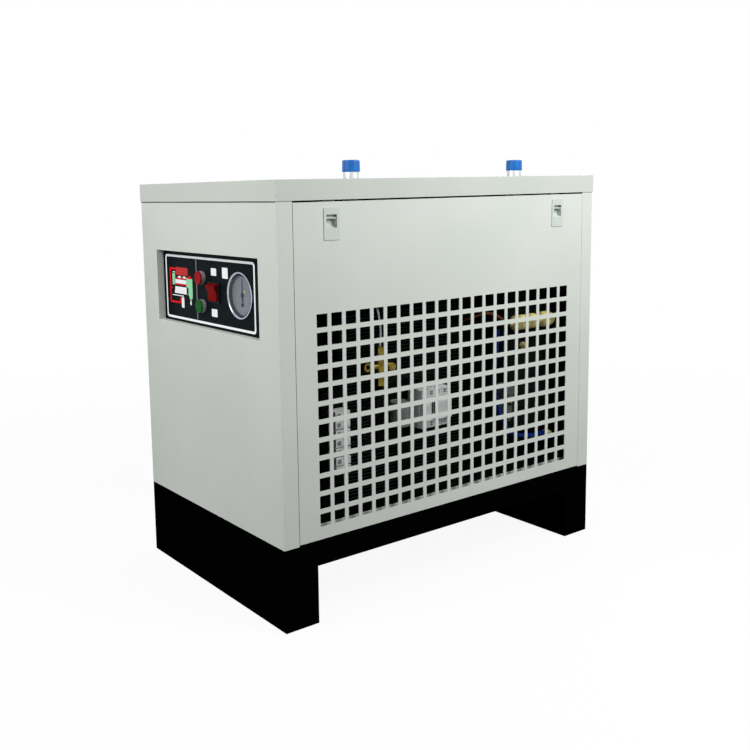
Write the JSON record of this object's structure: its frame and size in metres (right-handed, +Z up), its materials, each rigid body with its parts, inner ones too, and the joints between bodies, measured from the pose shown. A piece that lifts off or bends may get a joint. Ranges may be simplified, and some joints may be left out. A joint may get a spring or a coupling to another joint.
{
  "type": "refrigerated air dryer",
  "caption": "Floor-standing refrigerated compressed-air dryer: sheet-metal cabinet with a grilled and a louvred lift-off side, recessed control panel, capped air pipes on top.",
  "frame": {"origin": "on the floor, under the middle of the cabinet's footprint", "axes": "+Z up; -Y the front with the control panel; +X the right side seen from the front, with a grille"},
  "size_m": [0.451, 0.726, 0.732],
  "materials": {
    "base_paint": "satin black powder coat",
    "cabinet_paint": "fine textured light grey-green powder coat",
    "latch_plastic": "moulded grey-green plastic",
    "overlay": "blue-black printed overlay, semi-gloss",
    "black_plastic": "moulded black plastic",
    "rocker_red": "glossy red plastic",
    "chrome": "bright plated",
    "red_lens": "moulded red lens",
    "green_lens": "moulded green lens",
    "dial": "matt silver-grey dial",
    "needle": "matt black",
    "glass": "clear flat glass",
    "zinc": "zinc plated",
    "cap_blue": "soft blue polyethylene",
    "compressor_black": "semi-gloss black enamel",
    "bracket_black": "black painted sheet",
    "rubber": "black rubber",
    "fins": "black coated aluminium fins",
    "foam": "closed-cell foam insulation",
    "drain_plastic": "grey moulded plastic",
    "brass": "yellow brass",
    "white_plastic": "white moulded plastic",
    "copper": "drawn copper tube",
    "blue_tube": "blue polyurethane tube"
  },
  "bodies": {
    "cabinet": {"front_foot": "base_paint", "rear_foot": "base_paint", "right_base_rail": "base_paint", "left_base_rail": "base_paint", "base_tray": "cabinet_paint", "front_cover": "cabinet_paint", "rear_cover": "cabinet_paint", "lid": "cabinet_paint", "right_top_rail": "cabinet_paint", "left_top_rail": "cabinet_paint", "control_panel": "overlay", "switch_housing": "black_plastic", "compressor_terminal_cover": "black_plastic", "cable_gland": "black_plastic", "red_lamp_body": "chrome", "green_lamp_body": "chrome", "gauge_case": "chrome", "red_lamp_lens": "red_lens", "green_lamp_lens": "green_lens", "gauge_dial": "dial", "gauge_lens": "glass", "inlet_pipe": "zinc", "outlet_pipe": "zinc", "compressor": "compressor_black", "fan_motor": "compressor_black", "fan_shroud": "bracket_black", "electrical_bracket": "bracket_black", "compressor_mount_1": "rubber", "compressor_mount_2": "rubber", "compressor_mount_3": "rubber", "compressor_mount_4": "rubber", "condenser_coil": "fins", "heat_exchanger": "foam", "separator": "foam", "auto_drain": "drain_plastic", "run_capacitor": "drain_plastic", "filter_drier": "brass", "bypass_valve": "brass", "drain_outlet": "brass", "contactor": "white_plastic", "terminal_block": "white_plastic", "discharge_tube": "copper", "suction_tube": "copper", "liquid_tube": "copper", "drain_tube": "blue_tube"},
    "right_panel": {"right_side_panel": "cabinet_paint", "right_latch_a_bezel": "latch_plastic", "right_latch_b_bezel": "latch_plastic"},
    "right_latch_a": {"right_latch_a_slider": "latch_plastic"},
    "right_latch_b": {"right_latch_b_slider": "latch_plastic"},
    "left_panel": {"left_side_panel": "cabinet_paint", "left_latch_a_bezel": "latch_plastic", "left_latch_b_bezel": "latch_plastic"},
    "left_latch_a": {"left_latch_a_slider": "latch_plastic"},
    "left_latch_b": {"left_latch_b_slider": "latch_plastic"},
    "rocker": {"power_rocker": "rocker_red"},
    "needle": {"gauge_needle": "needle"},
    "fan": {"fan_impeller": "black_plastic"},
    "inlet_cap_body": {"inlet_cap": "cap_blue"},
    "outlet_cap_body": {"outlet_cap": "cap_blue"}
  },
  "joints": [
    {"name": "right_panel_tilt", "type": "hinge", "parent": "cabinet", "child": "right_panel", "pos_m": [0.2243, 0, 0.1372], "axis": [0, 1, 0], "range_deg": [0, 30]},
    {"name": "right_latch_a_slide", "type": "slide", "parent": "right_panel", "child": "right_latch_a", "axis": [0, 0, -1], "range_m": [0, 0.008], "stiffness_N_per_m": 300, "springref_m": -0.003},
    {"name": "right_latch_b_slide", "type": "slide", "parent": "right_panel", "child": "right_latch_b", "axis": [0, 0, -1], "range_m": [0, 0.008], "stiffness_N_per_m": 300, "springref_m": -0.003},
    {"name": "left_panel_tilt", "type": "hinge", "parent": "cabinet", "child": "left_panel", "pos_m": [-0.2243, 0, 0.1372], "axis": [0, -1, 0], "range_deg": [0, 30]},
    {"name": "left_latch_a_slide", "type": "slide", "parent": "left_panel", "child": "left_latch_a", "axis": [0, 0, -1], "range_m": [0, 0.008], "stiffness_N_per_m": 300, "springref_m": -0.003},
    {"name": "left_latch_b_slide", "type": "slide", "parent": "left_panel", "child": "left_latch_b", "axis": [0, 0, -1], "range_m": [0, 0.008], "stiffness_N_per_m": 300, "springref_m": -0.003},
    {"name": "rocker_tilt", "type": "hinge", "parent": "cabinet", "child": "rocker", "pos_m": [0.0115, -0.3478, 0.517], "axis": [-1, 0, 0], "range_deg": [0, 24]},
    {"name": "needle_turn", "type": "hinge", "parent": "cabinet", "child": "needle", "pos_m": [0.093, -0.3478, 0.518], "axis": [0, 1, 0], "range_deg": [-135, 135]},
    {"name": "fan_spin", "type": "hinge", "parent": "cabinet", "child": "fan", "pos_m": [0.066, -0.04, 0.311], "axis": [1, 0, 0], "continuous": true},
    {"name": "inlet_cap_pull", "type": "slide", "parent": "cabinet", "child": "inlet_cap_body", "axis": [0, 0, 1], "range_m": [0, 0.03]},
    {"name": "outlet_cap_pull", "type": "slide", "parent": "cabinet", "child": "outlet_cap_body", "axis": [0, 0, 1], "range_m": [0, 0.03]}
  ]
}
